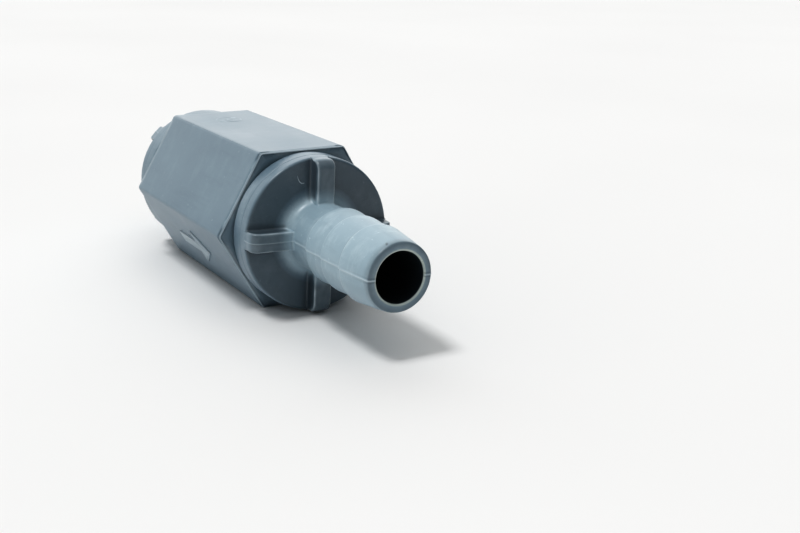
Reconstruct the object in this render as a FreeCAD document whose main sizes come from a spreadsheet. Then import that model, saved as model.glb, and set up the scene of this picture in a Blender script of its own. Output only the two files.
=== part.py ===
import FreeCAD, Part
import math
import os
import Sketcher

os.makedirs("parts", exist_ok=True)

# In-line spring check valve with a hose tail at each end.
# Frame: the flow axis is X and water goes towards +X, +Z is up, and the origin is on the flow
# axis, halfway between the two tips. The pieces are drawn with x = 0 at the middle of the
# hexagonal body and moved along at the end. All sizes are millimetres.

doc = FreeCAD.newDocument("check_valve")

# ---- driving dimensions ------------------------------------------------------------------

driving = {
    # hexagonal body
    "body_flats": 30.0,
    "body_length": 45.0,
    "body_edge_round": 0.9,
    "body_wall": 2.85,
    "seat_shoulder": 1.4,
    "seal_step": 1.05,
    "seal_lead": 0.3,
    # flow arrow raised on one flat of the body, the flat's angle taken from +Y towards +Z
    "arrow_flat_angle": 210.0,
    "arrow_length": 15.0,
    "arrow_head_length": 6.0,
    "arrow_head_width": 8.0,
    "arrow_shaft_width": 2.6,
    "arrow_height": 0.3,
    # screw joint between the body and each tail
    "thread_pitch": 2.0,
    "thread_clearance": 0.15,
    "thread_run_length": 6.4,
    "thread_lead_in": 1.6,
    "thread_relief": 1.2,
    "thread_end_room": 0.6,
    # hose tails
    "spigot_length": 11.5,
    "spigot_clearance": 0.1,
    "spigot_wall": 1.4,
    "shoulder_width": 1.2,
    "shoulder_height": 0.5,
    "flange_inset": 0.3,
    "flange_thickness": 5.4,
    "flange_round": 0.6,
    "rib_width": 3.5,
    "rib_height": 3.0,
    "rib_corner": 1.8,
    "rib_end_inset": 0.1,
    "root_wall": 1.95,
    "root_fillet": 2.0,
    "barb_crest_wall": 2.6,
    "barb_step": 0.5,
    "barb_land": 0.4,
    "tip_wall": 1.7,
    "tip_round": 0.8,
    "outlet_third_barb": 15.0,
    "outlet_second_barb": 20.7,
    "outlet_first_barb": 27.4,
    "outlet_tip": 36.0,
    "inlet_second_barb": 11.0,
    "inlet_first_barb": 17.4,
    "inlet_tip": 26.0,
    "tail_bore_radius": 4.55,
    "tail_bore_chamfer": 0.25,
    "bore_funnel_length": 6.0,
    # rubber rings between the pieces that stand still
    "ring_cord": 1.8,
    "ring_squeeze": 0.4,
    "ring_spread": 0.25,
    "ring_corner": 0.5,
    "ring_side_room": 0.3,
    "ring_slack": 0.02,
    "ring_place": 1.9,
    # seat ring
    "seat_length": 5.5,
    "orifice_radius": 5.0,
    "seat_cone_depth": 1.6,
    "seat_entry_depth": 2.5,
    "seat_entry_wall": 1.6,
    "seal_gap": 0.06,
    "seal_contact_height": 0.8,
    # poppet
    "groove_room": 0.05,
    "retainer_thickness": 1.4,
    "retainer_clearance": 0.3,
    "retainer_round": 0.6,
    "poppet_disc_thickness": 2.0,
    "poppet_boss_wall": 1.0,
    "spring_step_height": 1.2,
    "stem_radius": 1.6,
    "lift": 4.5,
    "stop_gap": 0.1,
    # screw that holds the seal retainer
    "screw_radius": 1.1,
    "screw_length": 7.0,
    "screw_head_radius": 2.1,
    "screw_head_height": 1.3,
    "screw_slot_width": 0.6,
    "screw_slot_depth": 0.7,
    "screw_hole_slack": 0.02,
    "screw_hole_room": 0.5,
    # guide
    "guide_rim_length": 2.5,
    "guide_rim_wall": 1.7,
    "guide_hub_wall": 1.75,
    "guide_hub_reach": 2.5,
    "guide_hub_tail": 1.0,
    "guide_leg_width": 1.8,
    "stem_clearance": 0.05,
    # spring and its washer
    "spring_hub_gap": 0.65,
    "wire_radius": 0.35,
    "spring_turns": 6.5,
    "spring_clearance": 0.15,
    "washer_thickness": 0.5,
    "washer_margin": 0.45,
    # clip on the end of the stem
    "clip_gap": 0.65,
    "clip_thickness": 0.5,
    "clip_radius": 2.9,
    "clip_mouth_half": 0.9,
    "clip_groove_depth": 0.5,
    "clip_groove_room": 0.05,
    "stem_end": 0.7,
    # a cut starts this far outside the surface that it cuts, and an added shape this far inside
    "overrun": 0.1,
    "rib_sink": 0.5,
    # how far each tail came round when it was screwed home, degrees
    "outlet_turn": -2.0,
    "inlet_turn": 45.0,
}

sheet = doc.addObject("Spreadsheet::Sheet", "sizes")
for row, (alias, number) in enumerate(driving.items(), start=1):
    sheet.set("A" + str(row), alias)
    sheet.set("B" + str(row), str(number))
    sheet.setAlias("B" + str(row), alias)
doc.recompute()


class Size:
    """A number together with the sheet formula that gives it."""

    def __init__(self, value, formula):
        self.value = value
        self.formula = formula

    def join(self, other, sign, value):
        text = other.formula if isinstance(other, Size) else str(other)
        return Size(value, "(" + self.formula + " " + sign + " " + text + ")")

    def __add__(self, other):
        return self.join(other, "+", self.value + number_of(other))

    def __sub__(self, other):
        return self.join(other, "-", self.value - number_of(other))

    def __mul__(self, other):
        return self.join(other, "*", self.value * number_of(other))

    def __truediv__(self, other):
        return self.join(other, "/", self.value / number_of(other))

    def __neg__(self):
        return Size(-self.value, "(0 - " + self.formula + ")")


def number_of(thing):
    return thing.value if isinstance(thing, Size) else thing


def size(alias):
    return Size(float(sheet.get(alias)), sheet.Name + "." + alias)


zero = Size(0.0, "0")

tail_count = 2
rib_count = 4
leg_count = 3
flank_slope = math.tan(math.radians(30))
half_root_two = math.sqrt(0.5)
thread_depth_per_pitch = 0.45
thread_flat_per_pitch = 0.1

# ---- radii that follow from the driving dimensions ---------------------------------------

thread_radius = size("body_flats") / 2 - size("body_wall") - size("thread_clearance")
thread_depth = size("thread_pitch") * thread_depth_per_pitch
thread_flat = size("thread_pitch") * thread_flat_per_pitch
thread_root = thread_radius - thread_depth
thread_bore = thread_root + size("thread_clearance")
seal_bore_radius = thread_bore - size("seal_step")
chamber_radius = seal_bore_radius - size("seat_shoulder")
spigot_radius = seal_bore_radius - size("spigot_clearance")
gland_floor = seal_bore_radius - size("ring_cord") + size("ring_squeeze")
spigot_bore_radius = gland_floor - size("spigot_wall")
seat_entry_radius = gland_floor - size("seat_entry_wall")
shoulder_radius = thread_radius + size("shoulder_width")
flange_radius = size("body_flats") / 2 - size("flange_inset")

root_radius = size("tail_bore_radius") + size("root_wall")
barb_crest_radius = size("tail_bore_radius") + size("barb_crest_wall")
tip_radius = size("tail_bore_radius") + size("tip_wall")

guide_bore_radius = size("stem_radius") + size("stem_clearance")
guide_hub_radius = guide_bore_radius + size("guide_hub_wall")
spring_radius = guide_hub_radius + size("spring_hub_gap") + size("wire_radius")
washer_radius = spring_radius + size("wire_radius") + size("washer_margin")
poppet_boss_radius = size("stem_radius") + size("poppet_boss_wall")
seat_cone_mouth = size("orifice_radius") + size("seat_cone_depth")

# ---- places along the flow axis ----------------------------------------------------------

body_end = size("body_length") / 2
spigot_end = body_end - size("spigot_length")
seat_back = -spigot_end
seat_face = seat_back + size("seat_length")
cone_start = seat_face - size("seat_cone_depth")
guide_face = spigot_end - size("guide_rim_length")
hub_face = guide_face - size("guide_hub_reach")
hub_end = spigot_end + size("guide_hub_tail")

ring_radius_out = size("ring_cord") / 2
seal_offset = (ring_radius_out + size("seal_gap")) * half_root_two
seal_place = cone_start + size("seal_contact_height") + seal_offset
seal_radius = size("orifice_radius") + size("seal_contact_height") - seal_offset
groove_front = seal_place - ring_radius_out - size("groove_room")
groove_back = seal_place + ring_radius_out + size("groove_room")
groove_floor = seal_radius - ring_radius_out - size("ring_slack")

disc_back = groove_back + size("poppet_disc_thickness")
boss_end = hub_face - size("lift") - size("stop_gap")
retainer_front = groove_front - size("retainer_thickness")
washer_face = guide_face - size("washer_thickness")
clip_face = hub_end + size("clip_gap")
clip_back = clip_face + size("clip_thickness")
stem_tip = clip_back + size("stem_end")

ring_width = size("ring_cord") + size("ring_spread")
gland_half = (ring_width + size("ring_side_room")) / 2
thread_end = size("thread_run_length") + size("thread_relief")

# ---- how the pieces are drawn ------------------------------------------------------------


def new_body(label):
    body = doc.addObject("PartDesign::Body", label)
    body.Label = label
    return body


def plane_of(body, role):
    for feature in body.Origin.OriginFeatures:
        if feature.Role == role:
            return feature
    raise RuntimeError("no plane " + role)


def new_sketch(body, name, role="XY_Plane"):
    sketch = body.newObject("Sketcher::SketchObject", name)
    sketch.AttachmentSupport = [(plane_of(body, role), "")]
    sketch.MapMode = "FlatFace"
    return sketch


def hold(sketch, kind, edge, end, amount):
    """Fixes one coordinate of a point, or the radius of an arc, to a size."""
    if kind == "Radius":
        number = sketch.addConstraint(Sketcher.Constraint("Radius", edge, amount.value))
    else:
        number = sketch.addConstraint(Sketcher.Constraint(kind, -1, 1, edge, end, amount.value))
    sketch.setExpression("Constraints[" + str(number) + "]", amount.formula)


def arc_between(first, last, radius, turn):
    """The arc from first to last, to the left (turn 1) or to the right (turn -1)."""
    chord = last - first
    reach = math.sqrt(radius ** 2 - chord.Length ** 2 / 4)
    side = FreeCAD.Vector(-chord.y, chord.x, 0).normalize() * turn
    centre = (first + last) / 2 + side * reach
    ends = [first, last] if turn > 0 else [last, first]
    angles = [math.atan2(end.y - centre.y, end.x - centre.x) for end in ends]
    circle = Part.Circle(centre, FreeCAD.Vector(0, 0, 1), radius)
    return Part.ArcOfCircle(circle, angles[0], angles[1])


def outline(sketch, corners, bends=None):
    """Draws a closed outline. bends gives the radius and turn of the edges that are arcs."""
    bends = bends or {}
    points = [FreeCAD.Vector(along.value, out.value, 0) for along, out in corners]
    starts = []
    ends = []
    for edge, first in enumerate(points):
        last = points[(edge + 1) % len(points)]
        if edge in bends:
            radius, turn = bends[edge]
            sketch.addGeometry(arc_between(first, last, radius.value, turn))
            starts.append(1 if turn > 0 else 2)
            ends.append(2 if turn > 0 else 1)
        else:
            sketch.addGeometry(Part.LineSegment(first, last))
            starts.append(1)
            ends.append(2)
    for edge, (along, out) in enumerate(corners):
        sketch.addConstraint(Sketcher.Constraint("Coincident", edge - 1 if edge else len(corners) - 1,
                                                 ends[edge - 1], edge, starts[edge]))
        hold(sketch, "DistanceX", edge, starts[edge], along)
        hold(sketch, "DistanceY", edge, starts[edge], out)
    for edge, (radius, turn) in bends.items():
        hold(sketch, "Radius", edge, None, radius)
    return sketch


def box_corners(low_along, high_along, low_out, high_out):
    return [(low_along, low_out), (high_along, low_out), (high_along, high_out), (low_along, high_out)]


def rounded_box(low_along, high_along, low_out, high_out, radius):
    """Corners and bends of a box whose four corners are rounded."""
    corners = [
        (low_along + radius, low_out), (high_along - radius, low_out),
        (high_along, low_out + radius), (high_along, high_out - radius),
        (high_along - radius, high_out), (low_along + radius, high_out),
        (low_along, high_out - radius), (low_along, low_out + radius),
    ]
    return corners, {edge: (radius, 1) for edge in (1, 3, 5, 7)}


def turned(body, kind, name, corners, bends=None):
    """Turns an outline of (place along X, radius) about the flow axis: Revolution or Groove."""
    sketch = outline(new_sketch(body, name + "_outline"), corners, bends)
    doc.recompute()
    feature = body.newObject("PartDesign::" + kind, name)
    feature.Profile = sketch
    feature.ReferenceAxis = (sketch, ["H_Axis"])
    feature.Angle = 360
    doc.recompute()
    return feature


def padded(body, kind, name, sketch, length):
    """Pads or pockets a sketch equally to both sides of its plane."""
    doc.recompute()
    feature = body.newObject("PartDesign::" + kind, name)
    feature.Profile = sketch
    feature.Midplane = True
    feature.setExpression("Length", length.formula)
    doc.recompute()
    return feature


def around(body, name, feature, count, axis="X_Axis"):
    pattern = body.newObject("PartDesign::PolarPattern", name)
    pattern.Originals = [feature]
    pattern.Axis = (plane_of(body, axis), [""])
    pattern.Angle = 360
    pattern.Occurrences = count
    body.Tip = pattern
    doc.recompute()
    return pattern


def wound(body, kind, name, sketch, pitch, height):
    """Sweeps a sketch along a right-handed helix about the flow axis."""
    doc.recompute()
    feature = body.newObject("PartDesign::" + kind, name)
    feature.Profile = sketch
    feature.ReferenceAxis = (sketch, ["H_Axis"])
    feature.Mode = "pitch-height-angle"
    feature.setExpression("Pitch", pitch.formula)
    feature.setExpression("Height", height.formula)
    feature.Angle = 0
    doc.recompute()
    return feature


def thread_groove(body, name, start, mouth_radius, floor_radius, mouth_half, floor_half, height):
    """Cuts a helical groove whose floor is flat and whose flanks lean 30 degrees."""
    corners = [
        (start - mouth_half, mouth_radius), (start - floor_half, floor_radius),
        (start + floor_half, floor_radius), (start + mouth_half, mouth_radius),
    ]
    sketch = outline(new_sketch(body, name + "_outline"), corners)
    return wound(body, "SubtractiveHelix", name, sketch, size("thread_pitch"), height)


# ---- valve body --------------------------------------------------------------------------


def make_valve_body():
    body = new_body("valve_body")

    hexagon = new_sketch(body, "hexagon", "YZ_Plane")
    corner_radius = size("body_flats") / math.sqrt(3)
    corners = []
    for step in range(6):
        across = round(math.cos(math.radians(60 * step)), 9)
        up = round(math.sin(math.radians(60 * step)), 9)
        corners.append((corner_radius * across, corner_radius * up))
    outline(hexagon, corners)
    prism = padded(body, "Pad", "prism", hexagon, size("body_length"))

    long_edges = []
    for number, edge in enumerate(prism.Shape.Edges, start=1):
        if edge.BoundBox.XLength > size("body_length").value * 0.99:
            long_edges.append("Edge" + str(number))
    rounded = body.newObject("PartDesign::Fillet", "rounded_edges")
    rounded.Base = (prism, long_edges)
    rounded.setExpression("Radius", size("body_edge_round").formula)
    doc.recompute()

    step_out = body_end - thread_end - size("thread_end_room")
    seal_start = step_out - size("seal_lead")
    mouth_radius = thread_radius + size("thread_clearance") + size("overrun")
    mouth_end = body_end - mouth_radius + thread_bore
    chamber = [
        (-body_end, zero), (body_end, zero), (body_end, mouth_radius), (mouth_end, thread_bore),
        (step_out, thread_bore), (seal_start, seal_bore_radius),
        (guide_face, seal_bore_radius), (guide_face, chamber_radius),
        (seat_face, chamber_radius), (seat_face, seal_bore_radius),
        (-seal_start, seal_bore_radius), (-step_out, thread_bore),
        (-mouth_end, thread_bore), (-body_end, mouth_radius),
    ]
    turned(body, "Groove", "chamber", chamber)

    floor_half = thread_flat + size("thread_clearance")
    mouth_half = floor_half + (thread_depth + size("overrun")) * flank_slope
    groove = thread_groove(
        body, "thread", body_end - thread_end, thread_bore - size("overrun"),
        thread_radius + size("thread_clearance"), mouth_half, floor_half,
        thread_end + size("thread_pitch") / 2)
    around(body, "both_threads", groove, tail_count, "Z_Axis")

    arrow = new_sketch(body, "arrow")
    flat_angle = size("arrow_flat_angle")
    depth = size("body_flats") / 2 - size("overrun")
    arrow.AttachmentOffset = FreeCAD.Placement(
        FreeCAD.Vector(0, 0, 0),
        FreeCAD.Rotation(FreeCAD.Vector(1, 0, 0), flat_angle.value - 90))
    for side, turn in (("y", "cos"), ("z", "sin")):
        arrow.setExpression(
            "AttachmentOffset.Base." + side,
            depth.formula + " * " + turn + "(" + flat_angle.formula + " * 1 deg)")
    tip = size("arrow_length") / 2
    neck = tip - size("arrow_head_length")
    half_head = size("arrow_head_width") / 2
    half_shaft = size("arrow_shaft_width") / 2
    outline(arrow, [
        (-tip, -half_shaft), (neck, -half_shaft), (neck, -half_head), (tip, zero),
        (neck, half_head), (neck, half_shaft), (-tip, half_shaft),
    ])
    doc.recompute()
    raised = body.newObject("PartDesign::Pad", "flow_arrow")
    raised.Profile = arrow
    raised.setExpression("Length", (size("arrow_height") + size("overrun")).formula)
    doc.recompute()
    return body


# ---- hose tails --------------------------------------------------------------------------
# Drawn in the tail's own frame: x = 0 is the end face of the body and +x points to the tip.


def make_tail(label, turn, barbs, tip):
    """barbs are the places of the barbs' steps, from the flange outwards."""
    body = new_body(label)
    back = -size("spigot_length")
    ring_middle = back + size("ring_place")
    edge_break = size("flange_round") / 2
    relief_radius = thread_root - size("overrun")
    flange_back = size("shoulder_height")
    flange_face = flange_back + size("flange_thickness")
    valley = barb_crest_radius - size("barb_step")
    funnel_half = size("bore_funnel_length") / 2
    corners = [
        (back, spigot_bore_radius),
        (back, spigot_radius - edge_break), (back + edge_break, spigot_radius),
        (ring_middle - gland_half, spigot_radius), (ring_middle - gland_half, gland_floor),
        (ring_middle + gland_half, gland_floor), (ring_middle + gland_half, spigot_radius),
        (-thread_end, spigot_radius), (-thread_end + size("thread_lead_in"), thread_radius),
        (-size("thread_relief"), thread_radius), (-size("thread_relief"), relief_radius),
        (zero, relief_radius), (zero, shoulder_radius),
        (flange_back, shoulder_radius), (flange_back, flange_radius - edge_break),
        (flange_back + edge_break, flange_radius),
        (flange_face - size("flange_round"), flange_radius),
        (flange_face, flange_radius - size("flange_round")),
        (flange_face, root_radius + size("root_fillet")),
        (flange_face + size("root_fillet"), root_radius),
    ]
    low_radius = root_radius
    for barb in barbs:
        corners += [
            (barb, low_radius), (barb, barb_crest_radius),
            (barb + size("barb_land"), barb_crest_radius),
        ]
        low_radius = valley
    tip_edge = len(corners)
    corners += [
        (tip - size("tip_round"), tip_radius), (tip, tip_radius - size("tip_round")),
        (tip, size("tail_bore_radius") + size("tail_bore_chamfer")),
        (tip - size("tail_bore_chamfer"), size("tail_bore_radius")),
        (funnel_half, size("tail_bore_radius")), (-funnel_half, spigot_bore_radius),
    ]
    bends = {
        16: (size("flange_round"), -1),
        18: (size("root_fillet"), 1),
        tip_edge: (size("tip_round"), -1),
    }
    turned(body, "Revolution", "turned_shape", corners, bends)

    rib_top = flange_face + size("rib_height")
    rib_end = flange_radius - size("rib_end_inset")
    rib_foot = root_radius - size("rib_sink")
    rib = new_sketch(body, "rib_outline")
    outline(rib, [
        (flange_face - size("flange_round"), rib_foot), (rib_top, rib_foot),
        (rib_top, rib_end - size("rib_corner")), (rib_top - size("rib_corner"), rib_end),
        (flange_face - size("flange_round"), rib_end),
    ], {2: (size("rib_corner"), 1)})
    around(body, "ribs", padded(body, "Pad", "rib", rib, size("rib_width")), rib_count)

    half_pitch = size("thread_pitch") / 2
    mouth_half = half_pitch - thread_flat + size("overrun") * flank_slope
    floor_half = half_pitch - thread_flat - thread_depth * flank_slope
    phase = size("thread_pitch") * turn / 360
    groove = thread_groove(
        body, "thread", -thread_end - half_pitch + phase, thread_radius + size("overrun"),
        thread_root, mouth_half, floor_half, thread_end - phase)
    body.Tip = groove
    doc.recompute()
    return body


# ---- rubber rings ------------------------------------------------------------------------


def make_ring(label, middle):
    """A ring squeezed between its groove and the seal bore."""
    body = new_body(label)
    half = ring_width / 2
    corners, bends = rounded_box(
        middle - half, middle + half, gland_floor + size("ring_slack"),
        seal_bore_radius - size("ring_slack"), size("ring_corner"))
    turned(body, "Revolution", "turned_shape", corners, bends)
    return body


def make_poppet_seal():
    body = new_body("poppet_seal")
    cord = new_sketch(body, "cord")
    cord.addGeometry(Part.Circle(
        FreeCAD.Vector(seal_place.value, seal_radius.value, 0), FreeCAD.Vector(0, 0, 1),
        ring_radius_out.value))
    hold(cord, "DistanceX", 0, 3, seal_place)
    hold(cord, "DistanceY", 0, 3, seal_radius)
    hold(cord, "Radius", 0, None, ring_radius_out)
    doc.recompute()
    ring = body.newObject("PartDesign::Revolution", "ring")
    ring.Profile = cord
    ring.ReferenceAxis = (cord, ["H_Axis"])
    ring.Angle = 360
    doc.recompute()
    return body


# ---- seat --------------------------------------------------------------------------------


def make_seat_ring():
    body = new_body("seat_ring")
    ring_middle = (seat_back + seat_face) / 2
    turned(body, "Revolution", "turned_shape", [
        (seat_back, seat_entry_radius), (seat_back, spigot_radius),
        (ring_middle - gland_half, spigot_radius), (ring_middle - gland_half, gland_floor),
        (ring_middle + gland_half, gland_floor), (ring_middle + gland_half, spigot_radius),
        (seat_face, spigot_radius), (seat_face, seat_cone_mouth), (cone_start, size("orifice_radius")),
        (seat_back + size("seat_entry_depth"), size("orifice_radius")),
    ])
    return body


# ---- poppet ------------------------------------------------------------------------------


def make_poppet():
    body = new_body("poppet")
    hole_radius = size("screw_radius") + size("screw_hole_slack")
    hole_end = retainer_front + size("screw_length") + size("screw_hole_room")
    step_radius = spring_radius - size("wire_radius") - size("spring_clearance")
    step_end = disc_back + size("spring_step_height")
    neck = size("stem_radius") - size("clip_groove_depth")
    slot_front = clip_face - size("clip_groove_room")
    slot_back = clip_back + size("clip_groove_room")
    turned(body, "Revolution", "turned_shape", [
        (groove_front, hole_radius), (groove_front, groove_floor), (groove_back, groove_floor),
        (groove_back, seat_cone_mouth), (disc_back, seat_cone_mouth),
        (disc_back, step_radius), (step_end, step_radius), (step_end, poppet_boss_radius),
        (boss_end, poppet_boss_radius), (boss_end, size("stem_radius")),
        (slot_front, size("stem_radius")), (slot_front, neck), (slot_back, neck),
        (slot_back, size("stem_radius")), (stem_tip, size("stem_radius")), (stem_tip, zero),
        (hole_end, zero), (hole_end, hole_radius),
    ])
    return body


def make_seal_retainer():
    body = new_body("seal_retainer")
    hole_radius = size("screw_radius") + size("screw_hole_slack")
    rim = size("orifice_radius") - size("retainer_clearance")
    turned(body, "Revolution", "turned_shape", [
        (retainer_front, hole_radius), (retainer_front, rim - size("retainer_round")),
        (retainer_front + size("retainer_round"), rim), (groove_front, rim),
        (groove_front, hole_radius),
    ], {1: (size("retainer_round"), -1)})
    return body


def make_retainer_screw():
    body = new_body("retainer_screw")
    head_front = retainer_front - size("screw_head_height")
    screw_tip = retainer_front + size("screw_length")
    turned(body, "Revolution", "turned_shape", [
        (head_front, zero), (head_front, size("screw_head_radius")),
        (retainer_front, size("screw_head_radius")), (retainer_front, size("screw_radius")),
        (screw_tip - size("screw_radius"), size("screw_radius")), (screw_tip, zero),
    ])
    slot = new_sketch(body, "slot_outline", "XZ_Plane")
    slot_low = head_front - size("overrun")
    reach = size("screw_head_radius") + size("overrun")
    outline(slot, box_corners(slot_low, head_front + size("screw_slot_depth"), -reach, reach))
    padded(body, "Pocket", "slot", slot, size("screw_slot_width"))
    return body


# ---- guide, washer, spring and clip ------------------------------------------------------


def make_spring_guide():
    body = new_body("spring_guide")
    rim_inner = spigot_radius - size("guide_rim_wall")
    overlap = size("guide_rim_wall") / 2
    turned(body, "Revolution", "hub", box_corners(
        hub_face, hub_end, guide_bore_radius, guide_hub_radius))
    leg = new_sketch(body, "leg_outline")
    outline(leg, box_corners(
        guide_face, spigot_end, guide_hub_radius - overlap, rim_inner + overlap))
    around(body, "legs", padded(body, "Pad", "leg", leg, size("guide_leg_width")), leg_count)
    rim = turned(body, "Revolution", "rim",
                 box_corners(guide_face, spigot_end, rim_inner, spigot_radius))
    body.Tip = rim
    doc.recompute()
    return body


def make_spring_washer():
    body = new_body("spring_washer")
    turned(body, "Revolution", "turned_shape", box_corners(
        washer_face, guide_face, guide_hub_radius + size("spring_clearance"),
        washer_radius))
    return body


def make_return_spring():
    body = new_body("return_spring")
    start = disc_back + size("wire_radius")
    height = washer_face - disc_back - size("wire_radius") * 2
    wire = new_sketch(body, "wire")
    wire.addGeometry(Part.Circle(
        FreeCAD.Vector(start.value, spring_radius.value, 0), FreeCAD.Vector(0, 0, 1),
        size("wire_radius").value))
    hold(wire, "DistanceX", 0, 3, start)
    hold(wire, "DistanceY", 0, 3, spring_radius)
    hold(wire, "Radius", 0, None, size("wire_radius"))
    pitch = Size(height.value / size("spring_turns").value,
                 "(" + height.formula + " / " + size("spring_turns").formula + ")")
    wound(body, "AdditiveHelix", "coil", wire, pitch, height)
    return body


def make_stem_clip():
    body = new_body("stem_clip")
    inner = size("stem_radius") - size("clip_groove_depth") + size("ring_slack")
    turned(body, "Revolution", "turned_shape",
           box_corners(clip_face, clip_back, inner, size("clip_radius")))
    mouth = new_sketch(body, "mouth_outline", "YZ_Plane")
    outline(mouth, box_corners(
        -size("clip_mouth_half"), size("clip_mouth_half"),
        -size("clip_radius") - size("overrun"), zero))
    # the sketch is at the middle of the body, and this reaches the clip from there
    padded(body, "Pocket", "mouth", mouth, (clip_back + size("overrun")) * 2)
    return body


# ---- assembly ----------------------------------------------------------------------------

pieces = [
    make_valve_body(),
    make_tail("outlet_tail", size("outlet_turn"), [
        size("outlet_third_barb"), size("outlet_second_barb"), size("outlet_first_barb"),
    ], size("outlet_tip")),
    make_tail("inlet_tail", size("inlet_turn"), [
        size("inlet_second_barb"), size("inlet_first_barb"),
    ], size("inlet_tip")),
    make_ring("outlet_tail_ring", spigot_end + size("ring_place")),
    make_ring("inlet_tail_ring", -spigot_end - size("ring_place")),
    make_seat_ring(),
    make_ring("seat_outer_ring", (seat_back + seat_face) / 2),
    make_poppet(),
    make_poppet_seal(),
    make_seal_retainer(),
    make_retainer_screw(),
    make_spring_guide(),
    make_spring_washer(),
    make_return_spring(),
    make_stem_clip(),
]


# the middle of the body lies this far along, so that the origin is halfway between the tips
body_middle = (size("inlet_tip") - size("outlet_tip")) / 2


def place(piece, along, facing=0.0, turn=0.0):
    """Moves a piece along the flow axis. A tail is also faced outwards and turned."""
    roll = FreeCAD.Rotation(FreeCAD.Vector(1, 0, 0), turn)
    face = FreeCAD.Rotation(FreeCAD.Vector(0, 0, 1), facing)
    piece.Placement = FreeCAD.Placement(FreeCAD.Vector(along.value, 0, 0), face * roll)
    piece.setExpression("Placement.Base.x", along.formula)


for piece in pieces:
    place(piece, body_middle)
place(doc.getObject("outlet_tail"), body_middle + body_end, 0.0, size("outlet_turn").value)
place(doc.getObject("inlet_tail"), body_middle - body_end, 180.0, size("inlet_turn").value)
doc.recompute()

# ---- checks, then one STEP file for each piece -------------------------------------------

for thing in doc.Objects:
    for word in ("Invalid", "Error"):
        if word in thing.State:
            raise RuntimeError(thing.Label + " is " + word)

for piece in pieces:
    shape = piece.Shape
    if shape.isNull() or not shape.isValid() or len(shape.Solids) != 1:
        raise RuntimeError(piece.Label + " has no single valid solid")
    shape.exportStep("parts/" + piece.Label + ".step")
    print(piece.Label, "volume", round(shape.Volume, 1))
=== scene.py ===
import math
import bpy
import bmesh
from mathutils import Matrix, Vector, noise


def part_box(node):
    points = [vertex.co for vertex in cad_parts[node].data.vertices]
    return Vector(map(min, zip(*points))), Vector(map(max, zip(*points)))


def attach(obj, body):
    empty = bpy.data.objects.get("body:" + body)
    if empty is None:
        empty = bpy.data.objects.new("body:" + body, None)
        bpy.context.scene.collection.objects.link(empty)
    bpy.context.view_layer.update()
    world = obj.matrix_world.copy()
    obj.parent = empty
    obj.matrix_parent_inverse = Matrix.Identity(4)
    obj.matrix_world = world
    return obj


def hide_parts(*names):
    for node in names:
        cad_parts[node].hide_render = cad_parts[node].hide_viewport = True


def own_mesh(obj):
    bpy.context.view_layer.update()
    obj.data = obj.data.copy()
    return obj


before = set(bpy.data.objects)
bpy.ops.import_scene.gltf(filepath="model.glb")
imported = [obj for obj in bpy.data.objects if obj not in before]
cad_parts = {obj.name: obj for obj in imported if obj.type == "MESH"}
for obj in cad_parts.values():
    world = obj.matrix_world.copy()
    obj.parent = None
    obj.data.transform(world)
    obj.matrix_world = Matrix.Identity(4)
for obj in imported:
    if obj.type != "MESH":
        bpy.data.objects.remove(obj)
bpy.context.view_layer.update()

mm = 0.001
scene = bpy.context.scene

# the frame gives the overall places, in millimetres
bodyLow, bodyHigh = (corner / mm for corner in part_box("valve_body"))
outletLow, outletHigh = (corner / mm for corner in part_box("outlet_tail"))
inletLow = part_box("inlet_tail")[0] / mm
bodyMiddle = (bodyLow.x + bodyHigh.x) / 2
halfLength = (bodyHigh.x - bodyLow.x) / 2
halfFlats = bodyHigh.z
spigotLength = bodyHigh.x - outletLow.x
print("frame loaded:", len(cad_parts), "nodes")


# helpers for numbers, outlines and meshes

def smooth(low, high, x):
    t = min(1.0, max(0.0, (x - low) / (high - low)))
    return t * t * (3 - 2 * t)


def mix(a, b, t):
    return a + (b - a) * t


def bell(away, width):
    return math.exp(-(away / width) ** 2)


def spread(first, last, count):
    return [first + (last - first) * k / (count - 1) for k in range(count)]


def wobble(x, y, z, seed):
    return noise.noise(Vector((x + seed, y - seed, z + 2 * seed)))


def polar(reach, angle):
    return Vector((reach * math.cos(angle), reach * math.sin(angle)))


# a point at a radius and an angle about the flow axis
def turned(x, radius, angle):
    return Vector((x, radius * math.cos(angle), radius * math.sin(angle)))


# rounds the corners of an open outline of (x, r); radii holds one radius per corner
def soften(corners, radii, steps):
    points = []
    mostOfRun = 0.49  # so that two roundings never meet
    for k, corner in enumerate(corners):
        here = Vector(corner)
        if radii[k] <= 0 or k in (0, len(corners) - 1):
            points.append(here)
            continue
        before = Vector(corners[k - 1]) - here
        after = Vector(corners[k + 1]) - here
        turn = before.angle(after)
        reach = radii[k] / math.tan(turn / 2)
        reach = min(reach, before.length * mostOfRun, after.length * mostOfRun)
        radius = reach * math.tan(turn / 2)
        start = here + before.normalized() * reach
        end = here + after.normalized() * reach
        middle = (before.normalized() + after.normalized()).normalized()
        centre = here + middle * (radius / math.sin(turn / 2))
        a = start - centre
        b = end - centre
        sweep = a.angle(b)
        for j in range(steps + 1):
            t = j / steps
            if sweep < 1e-5:
                points.append(start.lerp(end, t))
            else:
                arm = (a * math.sin((1 - t) * sweep) + b * math.sin(t * sweep)) / math.sin(sweep)
                points.append(centre + arm)
    return points


# adds points along the straight runs of an outline, so no run is longer than most
def refill(points, most, closed):
    filled = []
    count = len(points)
    for k in range(count if closed else count - 1):
        a = points[k]
        b = points[(k + 1) % count]
        parts = max(1, math.ceil((b - a).length / most))
        for j in range(parts):
            filled.append(a.lerp(b, j / parts))
    if not closed:
        filled.append(points[-1])
    return filled


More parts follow.
